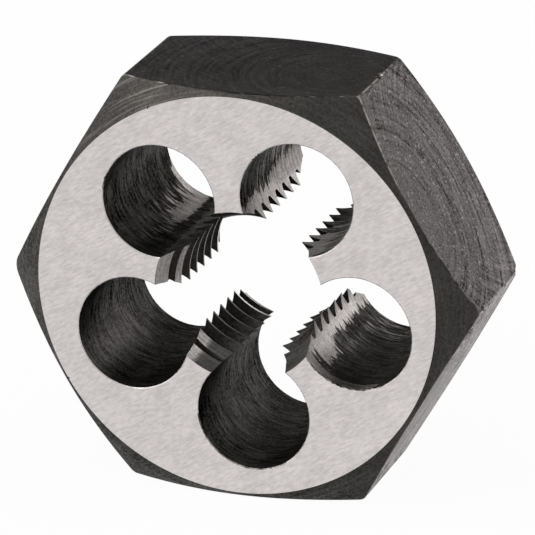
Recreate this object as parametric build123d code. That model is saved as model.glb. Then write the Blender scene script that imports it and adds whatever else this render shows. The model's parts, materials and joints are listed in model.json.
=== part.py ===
from build123d import *
import math
import os

# Hex die nut: a hexagonal rethreading die in one piece of hardened steel.
# The thread axis runs along Y, the lead-in face looks towards -Y, and the nut
# stands on one flat of its hexagon, so +Z is up. The origin is the centre of
# the hexagon at half its thickness. All sizes are in millimetres.

# Hexagon blank
across_flats = 41.0
thickness = 17.6
corner_radius = 0.7
chamfer_ring_margin = 0.42
chamfer_angle = 37.0

# Cutting thread, right-hand, its depth given as a share of a sharp V of the same pitch
thread_major_diameter = 16.0
thread_pitch = 2.0
thread_flank_angle = 30.0
thread_depth_share = 5 / 8
thread_crest_width = 0.25
thread_start_angle = 60.0

# Lead-in cones that cut the first crests down at both faces
entrance_margin = 0.55
front_lead_length = 3.9
back_lead_length = 3.5

# Chip flutes, drilled through and open to the bore
flute_count = 5
flute_diameter = 11.3
flute_reach = 1.775
first_flute_angle = 60.0

# How far the bore and its flutes sit from the hexagon's centre, as on the real tool
bore_offset_right = 0.40
bore_offset_up = 0.07

# Cutting tools run past the surfaces that they cut by this much
overcut = 1.0

# Room between one turn of the thread cutter and the next, inside the bore
groove_clearance = 0.02

# Sizes that follow from the ones above
major_radius = thread_major_diameter / 2
flank_slope = math.tan(math.radians(thread_flank_angle))
thread_depth = thread_depth_share * thread_pitch / 2 / flank_slope
minor_radius = major_radius - thread_depth
entrance_radius = major_radius + entrance_margin
flute_circle_radius = major_radius - flute_reach + flute_diameter / 2
chamfer_ring_radius = across_flats / 2 - chamfer_ring_margin
corner_reach = across_flats / math.sqrt(3)
half_thickness = thickness / 2


def hexagon_blank():
    """Hexagonal bar with rounded corners, cut to the nut's thickness."""
    hexagon = RegularPolygon(across_flats / 2, 6, major_radius=False)
    outline = fillet(hexagon.vertices(), corner_radius)
    return extrude(outline, half_thickness, both=True)


def turned_envelope():
    """The solid that the lathe leaves: a disc with a cone at each face."""
    rim_radius = corner_reach + overcut
    drop = (rim_radius - chamfer_ring_radius) * math.tan(math.radians(chamfer_angle))
    half_profile = Polyline(
        (0, -half_thickness),
        (chamfer_ring_radius, -half_thickness),
        (rim_radius, drop - half_thickness),
        (rim_radius, half_thickness - drop),
        (chamfer_ring_radius, half_thickness),
        (0, half_thickness),
        close=True,
    )
    return revolve(Plane.XZ * make_face(half_profile), Axis.Z)


def bore_with_lead_ins():
    """Core at the thread's crests, opening into a cone at each face."""
    cone_slope_front = (entrance_radius - minor_radius) / front_lead_length
    cone_slope_back = (entrance_radius - minor_radius) / back_lead_length
    front_end = half_thickness + overcut
    back_end = -half_thickness - overcut
    half_profile = Polyline(
        (0, back_end),
        (entrance_radius + overcut * cone_slope_back, back_end),
        (minor_radius, back_lead_length - half_thickness),
        (minor_radius, half_thickness - front_lead_length),
        (entrance_radius + overcut * cone_slope_front, front_end),
        (0, front_end),
        close=True,
    )
    return revolve(Plane.XZ * make_face(half_profile), Axis.Z)


def chip_flutes():
    """Ring of drilled holes that split the thread into separate lands."""
    drill = Cylinder(flute_diameter / 2, thickness + 2 * overcut)
    ring = PolarLocations(flute_circle_radius, flute_count, start_angle=first_flute_angle)
    return [place * drill for place in ring]


def groove_section(start):
    """Thread groove in the plane across its path: two flanks that open into the bore and a flat root."""
    crest_gap = (thread_pitch - thread_crest_width) / 2
    root_half_width = crest_gap - thread_depth * flank_slope
    mouth_half_width = thread_pitch / 2 - groove_clearance
    mouth_depth = (mouth_half_width - crest_gap) / flank_slope
    outline = Polygon(
        (-mouth_depth, -mouth_half_width),
        (thread_depth, -root_half_width),
        (thread_depth, root_half_width),
        (-mouth_depth, mouth_half_width),
        align=None,
    )
    return Plane(origin=start, x_dir=(1, 0, 0), z_dir=(0, 1, 0)) * outline


def thread_grooves():
    """One turn of groove for each pitch, its ends hidden in the first flute's opening."""
    turn = Helix(thread_pitch, thread_pitch, minor_radius)
    one_groove = sweep(groove_section(turn @ 0), path=turn, is_frenet=True)
    half_count = math.ceil(half_thickness / thread_pitch) + 1
    crest_rise = thread_pitch * (first_flute_angle - thread_start_angle) / 360
    first_groove = half_thickness + crest_rise + thread_pitch / 2
    return [
        Pos(Z=first_groove - thread_pitch * turn_number) * Rot(Z=first_flute_angle) * one_groove
        for turn_number in range(2 * half_count + 1)
    ]


def die_nut():
    """The finished die, cut from its blank and stood on a flat with its front towards -Y."""
    blank = hexagon_blank() & turned_envelope()
    bore_place = Pos(bore_offset_right, bore_offset_up)
    body = blank - bore_place * bore_with_lead_ins()
    for flute in chip_flutes():
        body -= bore_place * flute
    for groove in thread_grooves():
        body -= bore_place * groove
    return Rot(X=90) * body


os.makedirs("parts", exist_ok=True)
export_step(die_nut(), "parts/die_nut.step")
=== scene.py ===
"""Looks of a hex die nut: the cut steel piece with the finish that each tool left, and its stage."""

import json
import math
import random

import bmesh
import bpy
from mathutils import Matrix, Quaternion, Vector


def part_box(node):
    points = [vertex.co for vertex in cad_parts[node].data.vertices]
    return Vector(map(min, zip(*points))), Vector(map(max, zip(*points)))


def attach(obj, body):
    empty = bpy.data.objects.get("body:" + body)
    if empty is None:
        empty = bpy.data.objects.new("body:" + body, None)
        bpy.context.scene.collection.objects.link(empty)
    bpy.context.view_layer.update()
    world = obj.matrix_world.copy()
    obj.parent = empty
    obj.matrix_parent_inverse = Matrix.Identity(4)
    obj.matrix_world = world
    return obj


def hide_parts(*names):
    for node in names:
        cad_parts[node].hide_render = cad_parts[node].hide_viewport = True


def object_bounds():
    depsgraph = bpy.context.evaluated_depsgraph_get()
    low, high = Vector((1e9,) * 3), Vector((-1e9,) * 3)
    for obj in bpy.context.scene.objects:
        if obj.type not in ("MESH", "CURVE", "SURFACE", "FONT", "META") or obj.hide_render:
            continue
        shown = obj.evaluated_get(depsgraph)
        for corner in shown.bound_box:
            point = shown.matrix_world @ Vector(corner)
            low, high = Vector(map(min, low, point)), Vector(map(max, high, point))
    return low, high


bl_info = {
    "name": "Hex Die Nut",
    "version": (1, 0, 0),
    "blender": (4, 5, 0),
    "location": "View3D > Sidebar > Die Nut",
    "description": "Cuts a hexagonal rethreading die from its bar and sets it on a plain stage",
    "category": "Object",
}

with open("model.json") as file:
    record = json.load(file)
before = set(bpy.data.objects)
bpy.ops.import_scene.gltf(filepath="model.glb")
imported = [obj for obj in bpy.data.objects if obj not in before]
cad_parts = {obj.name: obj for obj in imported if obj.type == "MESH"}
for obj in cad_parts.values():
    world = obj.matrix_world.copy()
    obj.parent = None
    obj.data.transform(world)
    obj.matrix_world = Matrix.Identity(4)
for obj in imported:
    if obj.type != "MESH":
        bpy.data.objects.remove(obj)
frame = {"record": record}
CAD_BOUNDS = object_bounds()
MM = 0.001

# Places that the frame gives, in metres
NODE = "die_nut"
LOW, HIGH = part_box(NODE)
MOUNTS = {mount["name"]: mount for mount in frame["record"]["mounts"]}
THREAD_AXIS = Vector(MOUNTS["thread"]["pos_m"])

# Finishes in the order of the piece's material slots, each left by one tool
GROUND, TURNED, MILLED, DRILLED, BORED, THREAD, WORN = range(7)

# A map range with soft ends
SMOOTH = {"interpolation_type": "SMOOTHSTEP"}

# Edges turn sharp in the shading past this angle
SHARP_ANGLE = math.radians(28)

# Cutters run past the steel that they cut by this much
OVERCUT = 1.0 * MM

# Steps round a turned shape, round a flute and round one turn of the thread
TURNED_STEPS = 240
FLUTE_STEPS = 160
THREAD_STEPS = 96

# Points this near each other are one, on a turned shape and on the cut piece
TURNED_MERGE = 0.0001 * MM
CUT_MERGE = 0.0005 * MM

# Facets of a rounded corner and of the blunt one, and degrees each side of a corner that are worn
CORNER_FACETS = 5
BLUNT_FACETS = 9
WORN_CORNER = 4

# Slope of the thread's flanks, and the room between one turn of its cutter and the next
FLANK_SLOPE = math.tan(math.radians(30))
GROOVE_CLEARANCE = 0.02 * MM

# Least and most room between two drill rings, as shares of their pitch
RING_SPREAD = (0.6, 1.4)

# How rough a rim is without a burr, as a share of its size, and the share of a burr from which it
# is worn bright
RIM_ROUGHNESS = 0.1
WORN_BURR = 0.4

# Least and most reach of a nick's points and the reach of its brightness, as shares of its size, and
# where the random draws for the points start
NICK_SPREAD = (0.7, 1.1)
NICK_REACH = 1.2
NICK_SEED = 7

# The darkest tone of any finish and of a flute's wall, and the heights between which a finish goes
# from smooth to dull
DARKEST_TONE = 0.25
DARKEST_WALL = 0.68
SMOOTH_HEIGHT = 0.3
DULL_HEIGHT = 0.7

# How much of the paper glows white, which leaves the rest to the object's shadow
PAPER_GLOW = 0.96

# The soft lamp's place and width in metres, and its power in watts
LAMP_PLACE = (-0.5, -0.6, 0.7)
LAMP_WIDTH = 0.6
LAMP_POWER = 2

# Light of the studio all round, and its panels: the direction, how many degrees from it the
# panel is full and gone, and how much light it adds or takes
STUDIO_LEVEL = 0.7
STUDIO_PANELS = (
    ((-0.31, 0.88, 0.35), 12, 42, -0.5),
    ((0.62, 0.78, 0.08), 15, 40, 0.6),
    ((-0.80, -0.35, 0.49), 15, 45, 0.9),
)

# How the mill left each flat, anticlockwise from the upper right one: the middle of its arcs in
# millimetres along the flat and in from the front face, how deep it bit, and the painted light and
# shade that make the flat lighter or darker for the light that falls on it
FLATS = (
    (0.1, -0.1, 1.0, 1.04),
    (-7.5, 8.0, 0.4, 0.97),
    (2.0, -0.5, 1.0, 1.0),
    (-1.0, 0.4, 0.9, 1.0),
    (3.0, -0.3, 1.0, 1.0),
    (0.6, 0.2, 1.0, 3.0),
)

# Radii in millimetres at which the mill scored the flats, half the width of a score at its bottom
# and at its top, and the radius past which there is none
SCORED_ARCS = (5.4, 8.7, 9.1, 9.5, 12.4)
SCORE_BOTTOM = 0.08
SCORE_TOP = 0.2
SCORED_REACH = 16

# How many millimetres further in the arcs of the mill's trailing edge have their middle
TRAILING_MIDDLE = 17.8

# Tables of degrees round the front: how strong the painted highlight along the lathe's scored rings
# on the chamfer is, the chamfer's painted light and shade, and how bright the edges between flats and
# chamfers are, which is wear with a painted highlight
CHAMFER_SCORE_HIGHLIGHT = ((0, 0.15), (75, 0.15), (96, 0.8), (112, 1.0), (132, 0.7), (145, 0.15))
CHAMFER_PAINTED_LIGHT = (
    (0, 1.0),
    (60, 1.4),
    (90, 1.05),
    (118, 1.25),
    (150, 1.3),
    (180, 1.6),
    (200, 1.3),
    (222, 0.6),
    (245, 0.7),
    (265, 1.0),
    (300, 0.95),
)
EDGE_WEAR_AND_HIGHLIGHT = (
    (0, 0.35),
    (20, 0.45),
    (32, 0.75),
    (60, 1.3),
    (66, 0.6),
    (76, 0.2),
    (108, 0.25),
    (119, 1.1),
    (130, 0.4),
)

# The same round the bore: the painted light and shade on the front lead-in, the crests and the thread's
# flanks
LAND_PAINTED_LIGHT = (
    (24, 0.7),
    (96, 0.5),
    (150, 1.6),
    (186, 1.6),
    (214, 1.85),
    (236, 1.85),
    (240, 0.4),
    (262, 0.4),
    (290, 0.38),
    (335, 0.38),
)
CREST_PAINTED_LIGHT = ((24, 0.4), (96, 0.3), (150, 0.4), (186, 0.4), (214, 0.28), (262, 0.25), (312, 0.2))
FLANK_PAINTED_LIGHT = (
    (24, 1.0),
    (210, 1.0),
    (228, 0.75),
    (242, 0.85),
    (258, 2.2),
    (268, 1.0),
    (285, 1.8),
    (330, 1.8),
    (345, 1.0),
)

# Depth in millimetres from which the crests and the cone at the back carry a painted highlight, and how
# strong
BACK_HIGHLIGHT_DEPTH = 12.7
BACK_PAINTED_HIGHLIGHT = 1.85

# Marks on the walls of the flutes: the flute, what is there, where it starts, is full, fades and ends
# in degrees round the flute from its outer side and in millimetres from the front face, and how much
# of it: a share of a light strip that is steel rubbed bare with a painted highlight, a share of painted
# glints on the rings, or a gain of painted light, which is painted shade where it is below 0
MARKS = (
    (0, "rubbed_and_highlight", (124, 142, 200, 210), (-3, -2, 20, 21), 1.0),
    (0, "rubbed_and_highlight", (112, 130, 200, 210), (6, 10, 20, 21), 0.75),
    (0, "painted_glint", (86, 98, 130, 138), (4, 7, 16, 17.5), 0.6),
    (0, "rubbed_and_highlight", (-182, -172, -140, -120), (-3, -2, 4, 13), 0.5),
    (0, "painted_glint", (-158, -150, -124, -112), (0.5, 2, 9, 12), 0.4),
    (0, "bright", (124, 132, 200, 210), (0, 7, 20, 21), 0.45),
    (0, "bright", (-165, -155, -110, -90), (-3, -2, 20, 21), 2.0),
    (0, "bright", (-182, -172, -146, -122), (-3, -2, 5, 12), 2.6),
    (1, "rubbed_and_highlight", (100, 116, 123, 130), (5, 11, 20, 21), 0.88),
    (1, "rubbed_and_highlight", (62, 80, 120, 128), (16.2, 16.8, 20, 21), 1.0),
    (1, "bright", (62, 80, 120, 128), (16.2, 16.8, 20, 21), 0.8),
    (1, "painted_glint", (100, 107, 120, 126), (2.5, 5, 9, 12), 0.5),
    (1, "painted_glint", (88, 98, 118, 126), (8, 11, 16.5, 17.5), 1.0),
    (1, "bright", (112, 119, 124, 130), (9, 13, 20, 21), 0.9),
    (1, "rubbed_and_highlight", (132, 142, 200, 210), (-3, -2, 13, 17), 0.3),
    (1, "bright", (-20, 0, 45, 75), (-3, -2, 20, 21), 0.12),
    (1, "bright", (45, 75, 92, 104), (-3, -2, 20, 21), -0.4),
    (1, "bright", (126, 140, 200, 210), (-3, -2, 20, 21), 0.8),
    (2, "rubbed_and_highlight", (-36, 0, 30, 60), (0, 6, 11, 15), 0.1),
    (2, "bright", (45, 65, 110, 130), (-3, -2, 20, 21), 0.9),
    (3, "rubbed_and_highlight", (-140, -110, -50, -10), (0, 6, 14, 18), 0.08),
    (3, "bright", (-170, -150, -50, -25), (-3, -2, 20, 21), -0.3),
    (3, "bright", (-35, -10, 50, 70), (-3, -2, 20, 21), 1.1),
    (4, "rubbed_and_highlight", (-210, -200, -143, -122), (-3, -2, 20, 21), 1.0),
    (4, "rubbed_and_highlight", (-210, -200, -128, -106), (1.5, 3, 6, 7.5), 1.0),
    (4, "rubbed_and_highlight", (-150, -146, -66, -50), (-3, -2, 1.2, 1.9), 0.7),
    (4, "bright", (-152, -143, -134, -122), (-3, 2, 14, 20), 0.6),
    (4, "bright", (-122, -114, -80, -50), (1, 4, 20, 21), 0.4),
    (4, "bright", (-110, -92, -55, -30), (3, 6, 20, 21), 0.6),
    (4, "bright", (-80, -50, 10, 30), (-3, -2, 20, 21), 1.8),
    (4, "painted_glint", (-130, -124, -112, -98), (3, 7, 16.5, 17.5), 0.15),
    (4, "painted_glint", (-124, -116, -78, -64), (12.5, 14.5, 17, 17.6), 0.5),
)

# Burrs on the front rims of the flutes: the flute, the same four limits in degrees, and their size
# in millimetres
BURRS = (
    (0, (68, 72, 76, 80), 0.06),
    (1, (24, 30, 38, 44), 0.06),
    (3, (-95, -80, 20, 35), 0.025),
    (4, (-150, -140, -60, -45), 0.045),
)

# Nicks in the edges: degrees round the front, distance from the axis, depth from the front face and
# size, all three in millimetres, and how bright the steel is in them
NICKS = (
    (0.0, 23.75, 14.95, 0.75, 1.4),
    (60.0, 23.55, 8.7, 0.3, 1.3),
    (60.3, 23.55, 9.6, 0.34, 1.3),
    (59.8, 23.55, 10.7, 0.3, 1.3),
    (114.5, 20.1, 0.0, 0.18, 2.2),
    (210.5, 20.1, 0.0, 0.15, 0.4),
    (36.5, 20.8, 0.3, 0.25, 2.2),
    (110.0, 21.9, 1.2, 0.22, 2.2),
)


def length(name, description, default):
    """A property in metres."""
    return bpy.props.FloatProperty(
        name=name, description=description, default=default, subtype="DISTANCE", unit="LENGTH", precision=5
    )


def turn(name, description, default):
    """A property in degrees, kept as radians."""
    return bpy.props.FloatProperty(
        name=name, description=description, default=math.radians(default), subtype="ANGLE", unit="ROTATION"
    )


def hex_colour(name, description, default):
    """A property that holds a colour as sRGB hex."""
    return bpy.props.StringProperty(name=name, description=description, default=default)


class DieSizes(bpy.types.PropertyGroup):
    """Sizes of the die and of its cutters."""

    across_flats: length("Across flats", "Width of the hexagon over its flats", HIGH.z - LOW.z)
    thickness: length("Thickness", "Distance between the two ground faces", HIGH.y - LOW.y)
    corner_radius: length("Corner radius", "Rounding of the hexagon's corners", 0.7 * MM)
    blunt_radius: length("Blunt corner", "Rounding of the left corner, blunted by knocks", 1.6 * MM)
    ring_margin: length("Ring margin", "Width left between the ground face and the flats", 0.42 * MM)
    chamfer_angle: turn("Chamfer angle", "Slope of the turned chamfer from the face", 37)
    edge_break: length("Edge break", "Wear on the edges between flats and chamfers", 0.1 * MM)
    major_diameter: length("Major diameter", "Thread diameter over the roots", 16 * MM)
    pitch: length("Pitch", "Distance from one thread to the next", 2 * MM)
    thread_depth: length("Thread depth", "Height of a tooth from root to crest", 1.0825 * MM)
    crest_width: length("Crest width", "Flat on the teeth", 0.25 * MM)
    start_angle: turn("Start angle", "Where the crest meets the front face", 60)
    entrance_margin: length("Entrance margin", "How far the lead-in opens past the roots", 0.55 * MM)
    front_lead: length("Front lead-in", "Depth of the lead-in cone at the front", 3.9 * MM)
    back_lead: length("Back lead-in", "Depth of the lead-in cone at the back", 3.5 * MM)
    mouth_depth: length("Mouth depth", "Depth of the flatter first part of the front lead-in", 2.2 * MM)
    mouth_drop: length("Mouth drop", "How far the bore closes in over the mouth depth", 0.67 * MM)
    flute_count: bpy.props.IntProperty(name="Flutes", description="Chip flutes round the bore", default=5)
    flute_diameter: length("Flute diameter", "Drill that opens the chip flutes", 11.3 * MM)
    flute_reach: length("Flute reach", "How deep a flute cuts in past the thread's roots", 1.775 * MM)
    flute_angle: turn("First flute", "Direction of the first flute from the bore", 60)
    rim_break: length("Rim break", "Deburred edge at the mouth of a flute", 0.09 * MM)
    ring_pitch: length("Drill ring pitch", "Usual distance between rings that the drill scored", 0.34 * MM)
    ring_depth: length("Drill ring depth", "Depth of the rings that the drill scored", 0.012 * MM)


class DieFinish(bpy.types.PropertyGroup):
    """Colours of the steel under each finish."""

    ground: hex_colour("Ground", "Surface-ground faces", "D1CBCA")
    turned: hex_colour("Turned", "Turned chamfers", "3A3836")
    milled: hex_colour("Milled", "Milled flats", "5F5B5A")
    drilled: hex_colour("Drilled", "Walls of the flutes", "3B3938")
    # The light strip beside the teeth: steel rubbed bare, with a painted highlight
    rubbed_and_highlight: hex_colour("Rubbed", "Steel rubbed bare beside the teeth", "9A9593")
    bored: hex_colour("Bored", "Lead-in cones and crests", "C0BBB9")
    thread: hex_colour("Thread", "Flanks and roots", "262423")
    worn: hex_colour("Worn", "Edges worn bright", "98938F")


class DieStage(bpy.types.PropertyGroup):
    """Floor and camera."""

    distance: length("Distance", "Camera's distance from its aim", 528.8 * MM)
    azimuth: turn("Azimuth", "Camera's turn round the upright axis", 19.765)
    elevation: turn("Elevation", "Camera's height above the horizon", 20.318)
    roll: turn("Roll", "Camera's turn about its own line of sight", -1.045)
    lens: bpy.props.FloatProperty(name="Lens", description="Focal length in millimetres", default=368.3)
    aim_right: length("Aim right", "Where the camera aims, along X", 0.215 * MM)
    aim_up: length("Aim up", "Where the camera aims, along Z", -0.045 * MM)
    floor_size: length("Floor", "Width of the floor", 6.0)


def linear(hex_value):
    """An sRGB hex colour as linear red, green and blue."""
    channels = [int(hex_value[place:place + 2], 16) / 255 for place in (0, 2, 4)]
    return [c / 12.92 if c <= 0.04045 else ((c + 0.055) / 1.055) ** 2.4 for c in channels]


def add(tree, kind, settings=None, **links):
    """Adds a node, sets what settings names, and feeds its sockets with values, sockets or nodes."""
    made = tree.nodes.new(kind)
    for name, value in (settings or {}).items():
        setattr(made, name, value)
    for name, source in links.items():
        key = int(name[1:]) if name[0] == "i" and name[1:].isdigit() else name.replace("_", " ")
        socket = made.inputs[key]
        if isinstance(source, bpy.types.Node):
            source = next(output for output in source.outputs if output.enabled)
        if isinstance(source, bpy.types.NodeSocket):
            tree.links.new(source, socket)
        else:
            socket.default_value = source
    return made


def new_steel(name):
    """A metal material with its tree, the place on the piece in metres, and the trace that it keeps there."""
    material = bpy.data.materials.new(name)
    material.use_nodes = True
    tree = material.node_tree
    tree.nodes["Principled BSDF"].inputs["Metallic"].default_value = 1.0
    place = add(tree, "ShaderNodeTexCoord").outputs["Object"]
    trace = add(tree, "ShaderNodeAttribute", {"attribute_name": "trace"}).outputs["Vector"]
    return material, tree, place, trace


def coat(tree, colour, tone, height, depth, smooth, dull, glare=1.0):
    """Gives the steel its colour in a tone of about 1, bumps of a depth, and a roughness that follows them.

    A glare below 1 is a black scale, which takes that much of the glare off the steel where it
    is seen along its surface, and more of it in the darker tones.
    """
    shader = tree.nodes["Principled BSDF"]
    # Painted light and shade, and the brightness of worn steel, which the piece keeps, scale the tone
    painted_light_and_wear = add(tree, "ShaderNodeAttribute", {"attribute_name": "painted_light_and_wear"}).outputs["Fac"]
    tone = add(tree, "ShaderNodeMath", {"operation": "MAXIMUM"}, i0=tone, i1=DARKEST_TONE)
    if glare < 1.0:
        left = add(tree, "ShaderNodeMath", {"operation": "MULTIPLY", "use_clamp": True}, i0=tone, i1=glare)
        tree.links.new(left.outputs[0], shader.inputs["Specular Tint"])
    tone = add(tree, "ShaderNodeMath", {"operation": "MULTIPLY"}, i0=tone, i1=painted_light_and_wear)
    tinted = add(tree, "ShaderNodeVectorMath", {"operation": "SCALE"}, i0=colour, Scale=tone)
    bumped = add(tree, "ShaderNodeBump", Height=height, Distance=depth)
    rough = add(
        tree,
        "ShaderNodeMapRange",
        Value=height,
        From_Min=SMOOTH_HEIGHT,
        From_Max=DULL_HEIGHT,
        To_Min=smooth,
        To_Max=dull,
    )
    tree.links.new(tinted.outputs[0], shader.inputs["Base Color"])
    tree.links.new(bumped.outputs[0], shader.inputs["Normal"])
    tree.links.new(rough.outputs[0], shader.inputs["Roughness"])


def lines(tree, across, along, width, run, detail=2.0):
    """Noise drawn out into lines: it changes over width across them and over run along them."""
    slow = add(tree, "ShaderNodeVectorMath", {"operation": "SCALE"}, i0=along, Scale=1 / run)
    fast = add(tree, "ShaderNodeMath", {"operation": "MULTIPLY"}, i0=across, i1=1 / width)
    return add(
        tree, "ShaderNodeTexNoise", {"noise_dimensions": "4D"}, Vector=slow, W=fast, Scale=1.0, Detail=detail
    )


def blend(tree, start, *parts):
    """A start value plus each noise's swing about its middle, times its weight and its share of the place."""
    total = start
    for noise, weight, *shares in parts:
        low = -weight / 2
        swing = add(tree, "ShaderNodeMath", {"operation": "MULTIPLY_ADD"}, i0=noise, i1=weight, i2=low)
        for share in shares:
            swing = add(tree, "ShaderNodeMath", {"operation": "MULTIPLY"}, i0=swing, i1=share)
        total = add(tree, "ShaderNodeMath", {"operation": "ADD"}, i0=total, i1=swing)
    return total


def from_axis(tree, place):
    """Distance from the hexagon's axis, which runs along Y."""
    flat = add(tree, "ShaderNodeVectorMath", {"operation": "MULTIPLY"}, i0=place, i1=(1, 0, 1))
    return add(tree, "ShaderNodeVectorMath", {"operation": "LENGTH"}, i0=flat)


def ground_steel(finish):
    """Surface-ground tool steel: bright, with fine slanting wheel marks over a soft mottle."""
    material, tree, place, _ = new_steel("surface_ground_tool_steel")
    # The wheel's marks slant by 29 degrees; they are 0.05 mm apart, and drawn at 0.18 mm to show
    slant = add(
        tree,
        "ShaderNodeMapping",
        {"vector_type": "TEXTURE"},
        Vector=place,
        Rotation=(0, math.radians(-29), 0),
        Scale=(0.7 * MM, 0.7 * MM, 0.18 * MM),
    )
    marks = add(tree, "ShaderNodeTexNoise", Vector=slant, Scale=1.0, Detail=3.0)
    mottle = add(tree, "ShaderNodeTexNoise", Vector=place, Scale=1 / (0.4 * MM), Detail=2.0)
    cloud = add(tree, "ShaderNodeTexNoise", Vector=place, Scale=1 / (3 * MM), Detail=2.0)
    tone = blend(tree, 1.0, (marks, 0.6), (mottle, 0.17), (cloud, 0.28))
    coat(tree, linear(finish.ground), tone, marks, depth=0.003 * MM, smooth=0.38, dull=0.46)
    return material


def turned_steel(finish):
    """Turned steel, blackened in hardening: dark, with fine rings about the axis and a painted highlight on
    them.
    """
    material, tree, place, trace = new_steel("blackened_turned_steel")
    # The lathe's feed marks, and the coarser rings where it chattered
    rings = lines(tree, from_axis(tree, place), place, width=0.2 * MM, run=7 * MM, detail=3.0)
    grain = add(tree, "ShaderNodeTexNoise", Vector=place, Scale=1 / (0.25 * MM), Detail=2.0)
    cloud = add(tree, "ShaderNodeTexNoise", Vector=place, Scale=1 / (3 * MM), Detail=2.0)
    # The trace is how strong the painted highlight along the lathe's scored rings is at the place
    scored = add(tree, "ShaderNodeSeparateXYZ", Vector=trace).outputs["X"]
    # Painted highlight: the rings turn lighter where they would catch the lamp
    bright = add(tree, "ShaderNodeMapRange", SMOOTH, Value=rings, From_Min=0.5, From_Max=0.7, To_Max=1.8)
    bright = add(tree, "ShaderNodeMath", {"operation": "MULTIPLY"}, i0=bright, i1=scored)
    tone = blend(tree, bright, (rings, 0.4), (grain, 1.5), (cloud, 0.5))
    tone = add(tree, "ShaderNodeMath", {"operation": "ADD"}, i0=tone, i1=1.0)
    coat(tree, linear(finish.turned), tone, rings, depth=0.012 * MM, smooth=0.33, dull=0.4, glare=0.65)
    return material


def milled_steel(finish):
    """Face-milled steel, blackened in hardening: grey, with the mill's scored and crossing arcs."""
    material, tree, place, trace = new_steel("blackened_milled_steel")
    # The trace is the place from the middle of the mill's arcs, and how deep the mill bit
    split = add(tree, "ShaderNodeSeparateXYZ", Vector=trace)
    bite = split.outputs["Z"]
    flat = add(tree, "ShaderNodeVectorMath", {"operation": "MULTIPLY"}, i0=trace, i1=(1, 1, 0))
    leading = add(tree, "ShaderNodeVectorMath", {"operation": "LENGTH"}, i0=flat)
    far = (0, TRAILING_MIDDLE * MM, 0)
    trailing = add(tree, "ShaderNodeVectorMath", {"operation": "DISTANCE"}, i0=flat, i1=far)
    # Arcs of the mill's leading edge, and those of its trailing edge, which show near the corners
    arcs = lines(tree, leading, place, width=0.4 * MM, run=5 * MM)
    crossing = lines(tree, trailing, place, width=0.36 * MM, run=5 * MM)
    grain = add(tree, "ShaderNodeTexNoise", Vector=place, Scale=1 / (0.2 * MM), Detail=1.0)
    cloud = add(tree, "ShaderNodeTexNoise", Vector=place, Scale=1 / (2 * MM), Detail=2.0)
    # The leading arcs fade towards their middle, and the trailing ones away from the corners
    rim = add(
        tree,
        "ShaderNodeMapRange",
        SMOOTH,
        Value=leading,
        From_Min=3 * MM,
        From_Max=9 * MM,
        To_Min=0.15,
    )
    ends = add(tree, "ShaderNodeMath", {"operation": "ABSOLUTE"}, i0=split.outputs["X"])
    ends = add(tree, "ShaderNodeMapRange", SMOOTH, Value=ends, From_Min=6 * MM, From_Max=10 * MM)
    tone = blend(
        tree, 1.0, (arcs, 1.8, rim, bite), (crossing, 1.5, ends, bite), (grain, 1.5, bite), (cloud, 0.4)
    )
    # Single arcs scored deeper, which break off and start again
    span = SCORED_REACH * MM
    reach = add(tree, "ShaderNodeMath", {"operation": "MULTIPLY"}, i0=leading, i1=1 / span)
    ramp = add(tree, "ShaderNodeValToRGB", Fac=reach)
    stops = ramp.color_ramp.elements
    stops[1].color = (0, 0, 0, 1)
    for radius in SCORED_ARCS:
        for off, depth in ((-SCORE_TOP, 0), (-SCORE_BOTTOM, 1), (SCORE_BOTTOM, 1), (SCORE_TOP, 0)):
            stops.new((radius + off) * MM / span).color = (depth, depth, depth, 1)
    broken = add(tree, "ShaderNodeMapRange", SMOOTH, Value=cloud, From_Min=0.42, From_Max=0.58, To_Max=-0.4)
    broken = add(tree, "ShaderNodeMath", {"operation": "MULTIPLY"}, i0=broken, i1=bite)
    tone = add(tree, "ShaderNodeMath", {"operation": "MULTIPLY_ADD"}, i0=ramp, i1=broken, i2=tone)
    specks = add(tree, "ShaderNodeTexNoise", Vector=place, Scale=1 / (0.35 * MM), Detail=1.0)
    specks = add(tree, "ShaderNodeMapRange", SMOOTH, Value=specks, From_Min=0.64, From_Max=0.73, To_Max=1.1)
    specks = add(tree, "ShaderNodeMath", {"operation": "MULTIPLY"}, i0=specks, i1=bite)
    tone = add(tree, "ShaderNodeMath", {"operation": "ADD"}, i0=tone, i1=specks)
    coat(tree, linear(finish.milled), tone, arcs, depth=0.014 * MM, smooth=0.35, dull=0.42, glare=0.6)
    return material


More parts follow.
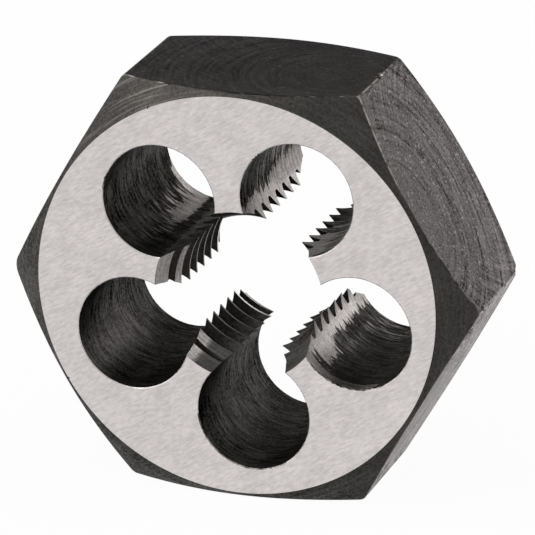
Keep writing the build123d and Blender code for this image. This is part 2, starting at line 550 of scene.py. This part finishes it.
def drilled_steel(finish):
    """Drilled steel, blackened in hardening: dark broken rings, rubbed bare where chips ran with a painted
    highlight there, and painted glints.
    """
    material, tree, place, trace = new_steel("blackened_drilled_steel")
    # The trace is how far the light strip reaches, how light it is, which is steel rubbed bare with a
    # painted highlight, and how strong the painted glints are
    split = add(tree, "ShaderNodeSeparateXYZ", Vector=trace)
    depth = add(tree, "ShaderNodeSeparateXYZ", Vector=place).outputs["Y"]
    # Rings 0.1 mm apart on the real tool, drawn at 0.26 mm to show
    rings = lines(tree, depth, place, width=0.26 * MM, run=1.9 * MM, detail=3.0)
    ragged = lines(tree, depth, place, width=0.45 * MM, run=8 * MM, detail=3.0)
    grain = add(tree, "ShaderNodeTexNoise", Vector=place, Scale=1 / (0.25 * MM), Detail=2.0)
    cloud = add(tree, "ShaderNodeTexNoise", Vector=place, Scale=1 / (2.5 * MM), Detail=2.0)
    reach = blend(tree, split.outputs["X"], (ragged, 1.9), (grain, 0.4))
    bare_and_highlit = add(tree, "ShaderNodeMapRange", SMOOTH, Value=reach, From_Min=0.42, From_Max=0.62)
    bare_and_highlit = add(tree, "ShaderNodeMath", {"operation": "MULTIPLY"}, i0=bare_and_highlit, i1=split.outputs["Y"])
    # Painted glints: light dashes on the rings that stand for the light they would reflect
    painted_glints = add(tree, "ShaderNodeMapRange", SMOOTH, Value=rings, From_Min=0.5, From_Max=0.6)
    painted_glints = add(tree, "ShaderNodeMath", {"operation": "MULTIPLY"}, i0=painted_glints, i1=split.outputs["Z"])
    bare_and_highlit = add(tree, "ShaderNodeMath", {"operation": "MAXIMUM"}, i0=bare_and_highlit, i1=painted_glints)
    dark = blend(tree, 1.0, (rings, 2.1), (grain, 1.4), (cloud, 0.7))
    dark = add(tree, "ShaderNodeMath", {"operation": "MAXIMUM"}, i0=dark, i1=DARKEST_WALL)
    light = blend(tree, 1.05, (rings, 1.6), (grain, 1.0))
    wall = [*linear(finish.drilled), 1]
    strip = [*linear(finish.rubbed_and_highlight), 1]
    colour = add(tree, "ShaderNodeMix", {"data_type": "RGBA"}, i0=bare_and_highlit, i6=wall, i7=strip)
    tone = add(tree, "ShaderNodeMix", {"data_type": "FLOAT"}, i0=bare_and_highlit, i2=dark, i3=light)
    coat(tree, colour, tone, rings, depth=0.012 * MM, smooth=0.34, dull=0.42, glare=0.5)
    return material


def bored_steel(finish):
    """Ground lead-in cones and crests: mid grey, with fine rings round the bore."""
    material, tree, place, _ = new_steel("ground_bore_steel")
    depth = add(tree, "ShaderNodeSeparateXYZ", Vector=place).outputs["Y"]
    rings = lines(tree, depth, place, width=0.2 * MM, run=3 * MM)
    grain = add(tree, "ShaderNodeTexNoise", Vector=place, Scale=1 / (0.3 * MM), Detail=2.0)
    tone = blend(tree, 1.0, (rings, 1.4), (grain, 1.0))
    coat(tree, linear(finish.bored), tone, rings, depth=0.01 * MM, smooth=0.48, dull=0.56)
    return material


def thread_steel(finish):
    """Ground thread flanks with the black of hardening still on them."""
    material, tree, place, _ = new_steel("blackened_thread_steel")
    rings = lines(tree, from_axis(tree, place), place, width=0.2 * MM, run=3 * MM)
    grain = add(tree, "ShaderNodeTexNoise", Vector=place, Scale=1 / (0.3 * MM), Detail=2.0)
    tone = blend(tree, 1.0, (rings, 1.6), (grain, 2.4))
    coat(tree, linear(finish.thread), tone, rings, depth=0.008 * MM, smooth=0.37, dull=0.43)
    return material


def worn_steel(finish):
    """Edges rubbed by handling: dull where the black is left, and bright in spots."""
    material, tree, place, _ = new_steel("worn_edge_steel")
    spots = add(tree, "ShaderNodeTexNoise", Vector=place, Scale=1 / (0.9 * MM), Detail=4.0)
    cloud = add(tree, "ShaderNodeTexNoise", Vector=place, Scale=1 / (4 * MM), Detail=2.0)
    wear = blend(tree, 0.5, (spots, 1.0), (cloud, 1.0))
    wear = add(tree, "ShaderNodeMapRange", SMOOTH, Value=wear, From_Min=0.38, From_Max=0.62, To_Min=0.12)
    coat(tree, linear(finish.worn), wear, spots, depth=0.01 * MM, smooth=0.32, dull=0.38)
    return material


def finishes(finish):
    """The piece's materials in the order of its slots."""
    makers = (ground_steel, turned_steel, milled_steel, drilled_steel, bored_steel, thread_steel, worn_steel)
    return [make(finish) for make in makers]


def as_object(name, bm, materials):
    """Turns a bmesh into an object with these materials in its slots."""
    mesh = bpy.data.meshes.new(name)
    bm.to_mesh(mesh)
    bm.free()
    for material in materials:
        mesh.materials.append(material)
    made = bpy.data.objects.new(name, mesh)
    bpy.context.scene.collection.objects.link(made)
    return made


def hexagon_bar(sizes):
    """Hexagonal bar along Z with rounded corners, two of them on the X axis and the left one blunt."""
    bm = bmesh.new()
    reach = sizes.across_flats / math.sqrt(3)
    height = sizes.thickness + 2 * OVERCUT
    bmesh.ops.create_cone(bm, cap_ends=True, segments=6, radius1=reach, radius2=reach, depth=height)
    bmesh.ops.rotate(bm, verts=bm.verts, matrix=Matrix.Rotation(math.radians(90), 3, "Z"))
    upright = [edge for edge in bm.edges if edge.verts[0].co.z * edge.verts[1].co.z < 0]
    blunt = min(upright, key=lambda edge: edge.verts[0].co.x)
    upright.remove(blunt)
    for edges, radius, facets in (
        (upright, sizes.corner_radius, CORNER_FACETS),
        ([blunt], sizes.blunt_radius, BLUNT_FACETS),
    ):
        bmesh.ops.bevel(
            bm,
            geom=edges,
            affect="EDGES",
            offset=radius * math.tan(math.radians(30)),
            segments=facets,
            profile=0.5,
            material=-1,
        )
    for face in bm.faces:
        if abs(face.normal.z) > 0.5:
            face.material_index = GROUND
            continue
        from_flat = math.degrees(math.atan2(face.normal.y, face.normal.x)) % 60 - 30
        from_corner = 30 - abs(from_flat)
        face.material_index = WORN if from_corner < WORN_CORNER else MILLED
    return bm


def turned(profile, steps):
    """Closed solid turned about Z from points of radius and height that start and end on the axis."""
    bm = bmesh.new()
    points = [bm.verts.new((radius, 0, height)) for radius, height in profile]
    edges = [bm.edges.new(pair) for pair in zip(points, points[1:])]
    bmesh.ops.spin(
        bm, geom=points + edges, cent=(0, 0, 0), axis=(0, 0, 1), angle=math.tau, steps=steps, use_merge=True
    )
    bmesh.ops.remove_doubles(bm, verts=bm.verts, dist=TURNED_MERGE)
    bmesh.ops.recalc_face_normals(bm, faces=bm.faces)
    return bm


def turned_envelope(sizes):
    """What the lathe leaves of the bar: a disc with a cone at each face."""
    half = sizes.thickness / 2
    ring = sizes.across_flats / 2 - sizes.ring_margin
    rim = sizes.across_flats / math.sqrt(3) + OVERCUT
    drop = (rim - ring) * math.tan(sizes.chamfer_angle)
    profile = [(0, -half), (ring, -half), (rim, drop - half), (rim, half - drop), (ring, half), (0, half)]
    bm = turned(profile, TURNED_STEPS)
    for face in bm.faces:
        face.material_index = GROUND if abs(face.normal.z) > 0.99 else TURNED
    return bm


def bore(sizes):
    """Core at the thread's crests, with a lead-in at each face, the front one in two slopes."""
    half = sizes.thickness / 2
    minor = sizes.major_diameter / 2 - sizes.thread_depth
    entrance = sizes.major_diameter / 2 + sizes.entrance_margin
    front_slope = sizes.mouth_drop / sizes.mouth_depth
    back_slope = (entrance - minor) / sizes.back_lead
    profile = [
        (0, -half - OVERCUT),
        (entrance + OVERCUT * back_slope, -half - OVERCUT),
        (minor, sizes.back_lead - half),
        (minor, half - sizes.front_lead),
        (entrance - sizes.mouth_drop, half - sizes.mouth_depth),
        (entrance + OVERCUT * front_slope, half + OVERCUT),
        (0, half + OVERCUT),
    ]
    bm = turned(profile, TURNED_STEPS)
    for face in bm.faces:
        face.material_index = BORED
    return bm


def drilled_hole(sizes, number):
    """A drilled flute: a bore with scored rings, and a deburred rim at each face that keeps a few burrs."""
    half = sizes.thickness / 2
    radius = sizes.flute_diameter / 2
    rim = sizes.rim_break
    chance = random.Random(number)
    # The rim slopes at 45 degrees and runs on a little past the face
    mouth = radius + 1.4 * rim
    low_rim = [(mouth, -half - OVERCUT), (mouth, -half - 0.4 * rim), (radius, rim - half)]
    wall = []
    height = rim - half + sizes.ring_pitch
    while height < half - rim - sizes.ring_pitch / 2:
        wall.append((radius + sizes.ring_depth * chance.uniform(-1, 1), height))
        height += sizes.ring_pitch * chance.uniform(*RING_SPREAD)
    high_rim = [(place, -height) for place, height in reversed(low_rim)]
    bm = turned([(0, -half - OVERCUT)] + low_rim + wall + high_rim + [(0, half + OVERCUT)], FLUTE_STEPS)
    burrs = [(limits, size * MM) for flute, limits, size in BURRS if flute == number]
    for face in bm.faces:
        middle = face.calc_center_median()
        on_rim = abs(middle.z) > half - rim
        around = math.degrees(math.atan2(middle.y, middle.x))
        burred = middle.z > 0 and any(within(around, limits) > WORN_BURR for limits, _ in burrs)
        face.material_index = (WORN if burred else GROUND) if on_rim else DRILLED
    # The points of the rims are roughened, which lie no deeper than one rim
    for vert in bm.verts:
        if half - 1.1 * rim < abs(vert.co.z) < half + rim and vert.co.xy.length > radius / 2:
            around = math.degrees(math.atan2(vert.co.y, vert.co.x))
            rough = RIM_ROUGHNESS * rim
            if vert.co.z > 0:
                rough += sum(size * within(around, limits) for limits, size in burrs)
            vert.co.xy *= 1 + chance.uniform(-1, 1) * rough / radius
            vert.co.z += chance.uniform(-1, 1) * rough
    return bm


def thread_groove(sizes):
    """Cutter for the thread: one groove section swept along the helix, past both faces."""
    bm = bmesh.new()
    minor = sizes.major_diameter / 2 - sizes.thread_depth
    crest_gap = (sizes.pitch - sizes.crest_width) / 2
    root = crest_gap - sizes.thread_depth * FLANK_SLOPE
    mouth = sizes.pitch / 2 - GROOVE_CLEARANCE
    run_in = (mouth - crest_gap) / FLANK_SLOPE
    turns = math.ceil(sizes.thickness / sizes.pitch) + 2
    first = math.degrees(sizes.start_angle) / 360 * sizes.pitch
    start = sizes.thickness / 2 - first + sizes.pitch / 2 - sizes.pitch * (turns - 1)
    section = [
        bm.verts.new((radius, 0, start + height))
        for radius, height in (
            (minor - run_in, -mouth),
            (minor + sizes.thread_depth, -root),
            (minor + sizes.thread_depth, root),
            (minor - run_in, mouth),
        )
    ]
    face = bm.faces.new(section)
    bmesh.ops.spin(
        bm,
        geom=[face],
        cent=(0, 0, 0),
        axis=(0, 0, 1),
        dvec=(0, 0, sizes.pitch / THREAD_STEPS),
        angle=math.tau * turns,
        steps=THREAD_STEPS * turns,
        use_duplicate=False,
    )
    bmesh.ops.recalc_face_normals(bm, faces=bm.faces)
    for face in bm.faces:
        face.material_index = THREAD
    return bm


def edge_nicks():
    """Cutters for the nicks: small squashed stones with rough faces."""
    bm = bmesh.new()
    chance = random.Random(NICK_SEED)
    for degrees, radius, depth, size, _ in NICKS:
        stone = bmesh.ops.create_icosphere(bm, subdivisions=2, radius=size * MM)
        for vert in stone["verts"]:
            vert.co *= chance.uniform(*NICK_SPREAD)
        bmesh.ops.transform(bm, matrix=nick_place(degrees, radius, depth), verts=stone["verts"])
    for face in bm.faces:
        face.material_index = WORN
    return bm


def nick_place(degrees, radius, depth):
    """Where a nick lies on the bar, which stands on Z with its front up."""
    top = (HIGH.y - LOW.y) / 2
    along = Matrix.Translation((radius * MM, 0, top - depth * MM))
    return Matrix.Rotation(math.radians(degrees), 4, "Z") @ along


def cut(body, cutter, operation):
    """Works one cutter on the body, keeps each surface's finish and removes the cutter."""
    step = body.modifiers.new(operation, "BOOLEAN")
    step.operation = operation
    step.solver = "EXACT"
    step.material_mode = "INDEX"
    step.object = cutter
    shaped = body.evaluated_get(bpy.context.evaluated_depsgraph_get())
    old = body.data
    body.data = bpy.data.meshes.new_from_object(shaped)
    body.modifiers.clear()
    bpy.data.meshes.remove(old)
    bpy.data.meshes.remove(cutter.data)


def wear_edges(body, sizes):
    """Rounds the edges where flats meet chamfers, and marks the new faces as worn."""
    bm = bmesh.new()
    bm.from_mesh(body.data)
    bmesh.ops.remove_doubles(bm, verts=bm.verts, dist=CUT_MERGE)
    edges = [
        edge
        for edge in bm.edges
        if len(edge.link_faces) == 2
        and TURNED in {face.material_index for face in edge.link_faces}
        and {face.material_index for face in edge.link_faces} & {MILLED, WORN}
    ]
    worn = bmesh.ops.bevel(
        bm,
        geom=edges,
        affect="EDGES",
        offset=sizes.edge_break,
        segments=2,
        profile=0.5,
        material=-1,
        clamp_overlap=True,
    )
    for face in worn["faces"]:
        face.material_index = WORN
    bm.to_mesh(body.data)
    bm.free()


def within(value, limits):
    """1 between the two inner limits, 0 past the outer two, and an even slope between."""
    start, full, fading, end = limits
    return max(0.0, min(1.0, (value - start) / (full - start), (end - value) / (end - fading)))


def between(table, degrees):
    """Reads a value off a table of degrees and values that goes once round."""
    first, value = table[0]
    degrees = first + (degrees - first) % 360
    rows = [*table, (first + 360, value)]
    for (low, start), (high, end) in zip(rows, rows[1:]):
        if degrees <= high:
            return start + (end - start) * (degrees - low) / (high - low)


def wall_marks(place, sizes):
    """Reach and share of the light strip, rubbed bare with a painted highlight, and the painted glints and
    light.
    """
    off_bore = place - Vector((THREAD_AXIS.x, THREAD_AXIS.z, 0))
    share = (math.atan2(off_bore.y, off_bore.x) - sizes.flute_angle) / math.tau * sizes.flute_count
    flute = round(share) % sizes.flute_count
    outward = sizes.flute_angle + flute * math.tau / sizes.flute_count
    middle = Vector((math.cos(outward), math.sin(outward), 0)) * flute_circle(sizes)
    wall = Matrix.Rotation(-outward, 3, "Z") @ (off_bore - middle)
    around = math.degrees(math.atan2(wall.y, wall.x))
    depth = (sizes.thickness / 2 - place.z) / MM
    reach, strip_share, painted_glint, bright = 0.0, 0.0, 0.0, 1.0
    for number, kind, angles, depths, amount in MARKS:
        full = within(around, angles) * within(depth, depths) if number == flute else 0.0
        if kind == "painted_glint":
            painted_glint = max(painted_glint, full * amount)
        # Painted light, and painted shade where the gain is below 0
        elif kind == "bright":
            bright += full * amount
        elif full > reach:
            reach, strip_share = full, amount
    return (reach, strip_share, painted_glint), bright


def keep_traces(body, sizes):
    """Stores where the piece's surfaces lie in their tools' marks, and their painted light and shade and
    wear.

    The trace of a flat is the place from the middle of the mill's arcs and how deep the mill
    bit, that of a chamfer is how strong the painted highlight on its scored rings is, and that of a
    flute its light strips, rubbed bare with a painted highlight, and its painted glints.
    """
    mesh = body.data
    mesh.attributes.new("trace", "FLOAT_VECTOR", "CORNER")
    mesh.attributes.new("painted_light_and_wear", "FLOAT", "CORNER")
    trace, painted_light_and_wear = mesh.attributes["trace"].data, mesh.attributes["painted_light_and_wear"].data
    nicks = [
        (nick_place(degrees, radius, depth).to_translation(), NICK_REACH * size * MM, lit)
        for degrees, radius, depth, size, lit in NICKS
    ]
    outside = sizes.across_flats / 2 - MM
    for face in mesh.polygons:
        finish = face.material_index
        flat = round((math.degrees(math.atan2(face.normal.y, face.normal.x)) - 30) / 60) % 6
        along, inward, bite, bright = FLATS[flat]
        angle = math.radians(30 + 60 * flat)
        direction = Vector((-math.sin(angle), math.cos(angle), 0))
        for corner in face.loop_indices:
            place = mesh.vertices[mesh.loops[corner].vertex_index].co
            degrees = math.degrees(math.atan2(place.y, place.x))
            depth = sizes.thickness / 2 - place.z
            value, level = (0, 0, 0), 1.0
            if finish == MILLED:
                value = (place.dot(direction) - along * MM, depth - inward * MM, bite)
                # The flat's painted light and shade
                level = bright
            elif finish == TURNED and place.z > 0:
                # Painted highlight along the scored rings, and painted light and shade round the chamfer
                value = (between(CHAMFER_SCORE_HIGHLIGHT, degrees), 0, 0)
                level = between(CHAMFER_PAINTED_LIGHT, degrees)
            elif finish == DRILLED:
                value, level = wall_marks(place, sizes)
            elif finish == WORN and place.xy.length > outside:
                # Edges worn bright with a painted highlight round the front, and the bared steel of the nicks
                level = between(EDGE_WEAR_AND_HIGHLIGHT, degrees)
                level = next((lit for middle, reach, lit in nicks if (place - middle).length < reach), level)
            elif finish == BORED:
                # Painted light and shade round the lead-in and crests, and a painted highlight at the back
                if depth < sizes.front_lead:
                    level = between(LAND_PAINTED_LIGHT, degrees)
                elif depth < BACK_HIGHLIGHT_DEPTH * MM:
                    level = between(CREST_PAINTED_LIGHT, degrees)
                else:
                    level = BACK_PAINTED_HIGHLIGHT
            elif finish == THREAD:
                # Painted light and shade round the flanks
                level = between(FLANK_PAINTED_LIGHT, degrees)
            trace[corner].vector = value
            painted_light_and_wear[corner].value = level


def shade(body):
    """Curved faces shade smooth up to sharp edges, and flat ones stay flat."""
    mesh = body.data
    smooth = [polygon.material_index not in (GROUND, MILLED) for polygon in mesh.polygons]
    mesh.polygons.foreach_set("use_smooth", smooth)
    mesh.set_sharp_from_angle(angle=SHARP_ANGLE)


def flute_circle(sizes):
    """Radius of the circle on which the flutes are drilled."""
    return sizes.major_diameter / 2 - sizes.flute_reach + sizes.flute_diameter / 2


class DIENUT_OT_cut(bpy.types.Operator):
    """Cuts the die from its bar with one cutter after another"""

    bl_idname = "dienut.cut"
    bl_label = "Cut the die"

    def execute(self, context):
        sizes = context.scene.die_sizes
        materials = finishes(context.scene.die_finish)
        body = as_object("cut_die", hexagon_bar(sizes), materials)
        cut(body, as_object("lathe", turned_envelope(sizes), materials), "INTERSECT")
        wear_edges(body, sizes)
        # The bore and its flutes sit a little off the hexagon's centre, as the frame says
        off_centre = Matrix.Translation((THREAD_AXIS.x, THREAD_AXIS.z, 0))
        cutters = [bore(sizes)]
        for number in range(sizes.flute_count):
            flute = drilled_hole(sizes, number)
            outward = Matrix.Rotation(sizes.flute_angle + number * math.tau / sizes.flute_count, 4, "Z")
            place = outward @ Matrix.Translation((flute_circle(sizes), 0, 0))
            bmesh.ops.transform(flute, matrix=place, verts=flute.verts)
            cutters.append(flute)
        cutters.append(thread_groove(sizes))
        for cutter in cutters:
            bmesh.ops.transform(cutter, matrix=off_centre, verts=cutter.verts)
            cut(body, as_object("cutter", cutter, materials), "DIFFERENCE")
        cut(body, as_object("stones", edge_nicks(), materials), "DIFFERENCE")
        keep_traces(body, sizes)
        body.data.transform(Matrix.Rotation(math.radians(90), 4, "X"))
        shade(body)
        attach(body, "root")
        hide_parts(NODE)
        return {"FINISHED"}


def floor_material():
    """Matt white paper: it shows white to the camera and in the steel, and keeps a faint shadow."""
    material = bpy.data.materials.new("white_paper")
    material.use_nodes = True
    tree = material.node_tree
    tree.nodes.clear()
    paper = add(tree, "ShaderNodeBsdfDiffuse", Color=(0.8, 0.8, 0.8, 1))
    glow = add(tree, "ShaderNodeEmission", Color=(1, 1, 1, 1), Strength=1.0)
    path = add(tree, "ShaderNodeLightPath")
    seen = path.outputs["Is Camera Ray"]
    for ray in ("Is Glossy Ray", "Is Transmission Ray"):
        seen = add(tree, "ShaderNodeMath", {"operation": "MAXIMUM"}, i0=seen, i1=path.outputs[ray])
    share = add(tree, "ShaderNodeMath", {"operation": "MULTIPLY"}, i0=seen, i1=PAPER_GLOW)
    both = add(tree, "ShaderNodeMixShader", i0=share, i1=paper, i2=glow)
    add(tree, "ShaderNodeOutputMaterial", Surface=both)
    return material


def studio_world():
    """Even studio light with soft bright panels and a dark corner, which give the steel its tones."""
    world = bpy.data.worlds.new("studio")
    world.use_nodes = True
    tree = world.node_tree
    way = add(tree, "ShaderNodeTexCoord").outputs["Generated"]
    total = STUDIO_LEVEL
    for direction, inner, outer, gain in STUDIO_PANELS:
        middle = Vector(direction).normalized()
        facing = add(tree, "ShaderNodeVectorMath", {"operation": "DOT_PRODUCT"}, i0=way, i1=middle)
        panel = add(
            tree,
            "ShaderNodeMapRange",
            SMOOTH,
            Value=facing,
            From_Min=math.cos(math.radians(outer)),
            From_Max=math.cos(math.radians(inner)),
            To_Max=gain,
        )
        total = add(tree, "ShaderNodeMath", {"operation": "ADD"}, i0=total, i1=panel)
    tree.links.new(total.outputs[0], tree.nodes["Background"].inputs["Color"])
    return world


def add_lamp():
    """A soft square lamp that faces the die."""
    light = bpy.data.lights.new("key_lamp", "AREA")
    light.shape = "SQUARE"
    light.size = LAMP_WIDTH
    light.energy = LAMP_POWER
    lamp = bpy.data.objects.new("key_lamp", light)
    lamp.location = LAMP_PLACE
    lamp.rotation_euler = (-Vector(LAMP_PLACE)).to_track_quat("-Z", "Y").to_euler()
    bpy.context.scene.collection.objects.link(lamp)


class DIENUT_OT_stage(bpy.types.Operator):
    """Sets the floor, the light and the camera"""

    bl_idname = "dienut.stage"
    bl_label = "Set the stage"

    def execute(self, context):
        stage = context.scene.die_stage
        bm = bmesh.new()
        bmesh.ops.create_grid(bm, x_segments=1, y_segments=1, size=stage.floor_size / 2)
        bmesh.ops.translate(bm, verts=bm.verts, vec=(0, 0, CAD_BOUNDS[0][2]))
        floor = as_object("paper_floor", bm, [floor_material()])
        add_lamp()
        context.scene.world = studio_world()
        aim = Vector((stage.aim_right, 0, stage.aim_up))
        away = Vector((
            math.sin(stage.azimuth) * math.cos(stage.elevation),
            -math.cos(stage.azimuth) * math.cos(stage.elevation),
            math.sin(stage.elevation),
        ))
        camera = bpy.data.objects.new("camera", bpy.data.cameras.new("camera"))
        camera.data.lens = stage.lens
        camera.location = aim + away * stage.distance
        upright = (-away).to_track_quat("-Z", "Y")
        camera.rotation_euler = (upright @ Quaternion((0, 0, 1), stage.roll)).to_euler()
        context.scene.collection.objects.link(camera)
        context.scene.camera = camera
        context.scene.view_settings.view_transform = "Standard"
        return {"FINISHED"}


class DIENUT_PT_panel(bpy.types.Panel):
    """Lists the steps that make the die nut"""

    bl_idname = "DIENUT_PT_panel"
    bl_label = "Hex Die Nut"
    bl_space_type = "VIEW_3D"
    bl_region_type = "UI"
    bl_category = "Die Nut"

    def draw(self, context):
        for operator in (DIENUT_OT_cut, DIENUT_OT_stage):
            self.layout.operator(operator.bl_idname)


CLASSES = (DieSizes, DieFinish, DieStage, DIENUT_OT_cut, DIENUT_OT_stage, DIENUT_PT_panel)


def register():
    for each in CLASSES:
        bpy.utils.register_class(each)
    bpy.types.Scene.die_sizes = bpy.props.PointerProperty(type=DieSizes)
    bpy.types.Scene.die_finish = bpy.props.PointerProperty(type=DieFinish)
    bpy.types.Scene.die_stage = bpy.props.PointerProperty(type=DieStage)


def unregister():
    del bpy.types.Scene.die_stage
    del bpy.types.Scene.die_finish
    del bpy.types.Scene.die_sizes
    for each in reversed(CLASSES):
        bpy.utils.unregister_class(each)


def main():
    """Makes the die and its stage."""
    register()
    bpy.ops.dienut.cut()
    bpy.ops.dienut.stage()


if __name__ == "__main__":
    main()
